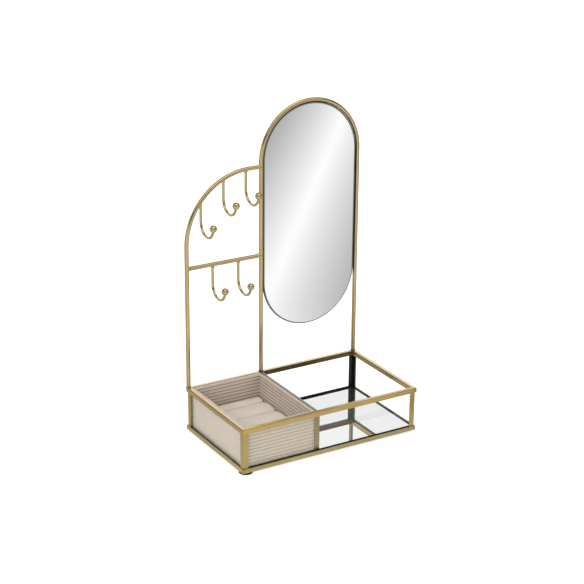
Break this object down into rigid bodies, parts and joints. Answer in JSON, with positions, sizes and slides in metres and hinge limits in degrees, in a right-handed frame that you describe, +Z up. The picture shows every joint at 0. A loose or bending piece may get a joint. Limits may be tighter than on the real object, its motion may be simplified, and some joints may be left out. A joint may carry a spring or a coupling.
{
  "type": "jewellery box with mirror and necklace stand",
  "caption": "Brass-framed glass jewellery box with mirror floor, lift-out ribbed tray and ring cushion, and a wire stand with capsule mirror and necklace hooks.",
  "frame": {"origin": "on the table under the middle of the box", "axes": "+Z up, the front faces -Y, +X to the right seen from the front"},
  "size_m": [0.2406, 0.14, 0.3958],
  "materials": {
    "brass": "satin brass plate",
    "clear_glass": "clear float glass",
    "floor_mirror": "silvered glass",
    "mirror": "silvered glass",
    "mirror_backing": "satin brass-coloured paint",
    "black_seal": "matt black sealing strip",
    "black_board": "black-faced hardboard",
    "foot_rubber": "matt black pad",
    "ribbed_fabric": "ribbed velvet over board",
    "pad_fabric": "plain velvet over foam"
  },
  "bodies": {
    "box": {"rubber_feet": "foot_rubber", "base_rail_front": "brass", "base_rail_right": "brass", "base_rail_back": "brass", "base_rail_left": "brass", "base_board": "black_board", "floor_mirror": "floor_mirror", "base_seals": "black_seal", "post_front_left": "brass", "post_front_right": "brass", "post_back_right": "brass", "post_back_left": "brass", "post_seals": "black_seal", "glass_front": "clear_glass", "glass_right": "clear_glass", "glass_back": "clear_glass", "glass_left": "clear_glass", "rim_front": "brass", "rim_right": "brass", "rim_back": "brass", "rim_left": "brass", "rim_seals": "black_seal", "divider_glass": "clear_glass", "divider_channel_front": "brass", "divider_channel_back": "brass", "mirror_arch": "brass", "left_upright": "brass", "cross_bar": "brass", "hook_upper_1": "brass", "hook_upper_2": "brass", "hook_upper_3": "brass", "hook_lower_1": "brass", "hook_lower_2": "brass", "hook_beads": "brass", "mirror_glass": "mirror", "mirror_back": "mirror_backing"},
    "tray": {"tray_base": "pad_fabric", "tray_wall_front": "ribbed_fabric", "tray_wall_right": "ribbed_fabric", "tray_wall_back": "ribbed_fabric", "tray_wall_left": "ribbed_fabric"},
    "cushion": {"cushion_board": "pad_fabric", "ring_pad_1": "pad_fabric", "ring_pad_2": "pad_fabric", "ring_pad_3": "pad_fabric", "ring_pad_4": "pad_fabric", "ring_pad_5": "pad_fabric"}
  },
  "joints": [
    {"name": "tray_lift", "type": "slide", "parent": "box", "child": "tray", "axis": [0, 0, 1], "range_m": [0, 0.058]},
    {"name": "cushion_lift", "type": "slide", "parent": "tray", "child": "cushion", "axis": [0, 0, 1], "range_m": [0, 0.054]}
  ]
}
